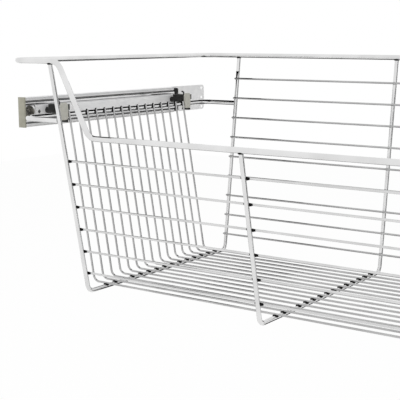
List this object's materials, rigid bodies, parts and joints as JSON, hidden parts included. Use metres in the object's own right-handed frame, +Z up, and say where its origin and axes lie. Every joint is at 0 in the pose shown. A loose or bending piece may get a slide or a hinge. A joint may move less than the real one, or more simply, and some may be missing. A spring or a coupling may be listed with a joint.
{
  "type": "pull out cabinet basket",
  "caption": "Chrome wire pull-out basket for a cabinet, open at the top with a dipped front rail, clipped at both sides to full-extension ball-bearing slides.",
  "frame": {"origin": "centre of the whole part in width and depth, with both slides closed, at the height of the basket's underside", "axes": "+X to the right as seen from the front, +Y to the back of the cabinet, +Z up; the basket pulls out along -Y"},
  "size_m": [0.6434, 0.3992, 0.266],
  "materials": {
    "chrome_rod": "polished chrome plate",
    "chrome_wire": "polished chrome plate",
    "zinc_steel": "bright zinc-plated rolled sheet",
    "cage_steel": "plain steel strip, oiled",
    "ball_steel": "polished bearing steel",
    "black_rubber": "moulded rubber, matt",
    "black_plastic": "moulded nylon, fine texture",
    "pale_plastic": "moulded acetal, satin",
    "taupe_plastic": "moulded ABS, satin",
    "screw_steel": "grey passivated steel",
    "rivet_steel": "zinc-plated steel",
    "dark_spring_steel": "blackened spring wire"
  },
  "bodies": {
    "cabinet": {"outer_member_left": "zinc_steel", "bumper_left": "black_rubber", "outer_member_right": "zinc_steel", "bumper_right": "black_rubber"},
    "basket": {"rim_rod": "chrome_rod", "frame_left": "chrome_rod", "frame_middle": "chrome_rod", "frame_right": "chrome_rod", "front_wires": "chrome_wire", "back_wires": "chrome_wire", "floor_wires": "chrome_wire", "side_rod_left": "chrome_rod", "side_rod_right": "chrome_rod", "clip_rivets": "rivet_steel", "clip_hooks": "dark_spring_steel", "cap_screws": "screw_steel", "clip_body_front_left": "black_plastic", "clip_cradle_front_left": "pale_plastic", "clip_body_rear_left": "black_plastic", "clip_cradle_rear_left": "pale_plastic", "inner_member_left": "zinc_steel", "end_cap_left": "taupe_plastic", "clip_body_front_right": "black_plastic", "clip_cradle_front_right": "pale_plastic", "clip_body_rear_right": "black_plastic", "clip_cradle_rear_right": "pale_plastic", "inner_member_right": "zinc_steel", "end_cap_right": "taupe_plastic"},
    "middle_left": {"middle_member_left": "zinc_steel"},
    "outer_cage_left": {"outer_cage_left": "cage_steel", "outer_balls_left": "ball_steel"},
    "inner_cage_left": {"inner_cage_left": "cage_steel", "inner_balls_left": "ball_steel"},
    "middle_right": {"middle_member_right": "zinc_steel"},
    "outer_cage_right": {"outer_cage_right": "cage_steel", "outer_balls_right": "ball_steel"},
    "inner_cage_right": {"inner_cage_right": "cage_steel", "inner_balls_right": "ball_steel"}
  },
  "joints": [
    {"name": "basket_slide", "type": "slide", "parent": "cabinet", "child": "basket", "axis": [0, -1, 0], "range_m": [0, 0.33]},
    {"name": "middle_left_slide", "type": "slide", "parent": "cabinet", "child": "middle_left", "axis": [0, -1, 0], "range_m": [0, 0.165]},
    {"name": "outer_cage_left_slide", "type": "slide", "parent": "cabinet", "child": "outer_cage_left", "axis": [0, -1, 0], "range_m": [0, 0.0825]},
    {"name": "inner_cage_left_slide", "type": "slide", "parent": "cabinet", "child": "inner_cage_left", "axis": [0, -1, 0], "range_m": [0, 0.2475]},
    {"name": "middle_right_slide", "type": "slide", "parent": "cabinet", "child": "middle_right", "axis": [0, -1, 0], "range_m": [0, 0.165]},
    {"name": "outer_cage_right_slide", "type": "slide", "parent": "cabinet", "child": "outer_cage_right", "axis": [0, -1, 0], "range_m": [0, 0.0825]},
    {"name": "inner_cage_right_slide", "type": "slide", "parent": "cabinet", "child": "inner_cage_right", "axis": [0, -1, 0], "range_m": [0, 0.2475]}
  ],
  "couplings": [
    {"joint": "middle_left_slide", "follows": "basket_slide", "ratio": 0.5},
    {"joint": "outer_cage_left_slide", "follows": "basket_slide", "ratio": 0.25},
    {"joint": "inner_cage_left_slide", "follows": "basket_slide", "ratio": 0.75},
    {"joint": "middle_right_slide", "follows": "basket_slide", "ratio": 0.5},
    {"joint": "outer_cage_right_slide", "follows": "basket_slide", "ratio": 0.25},
    {"joint": "inner_cage_right_slide", "follows": "basket_slide", "ratio": 0.75}
  ]
}
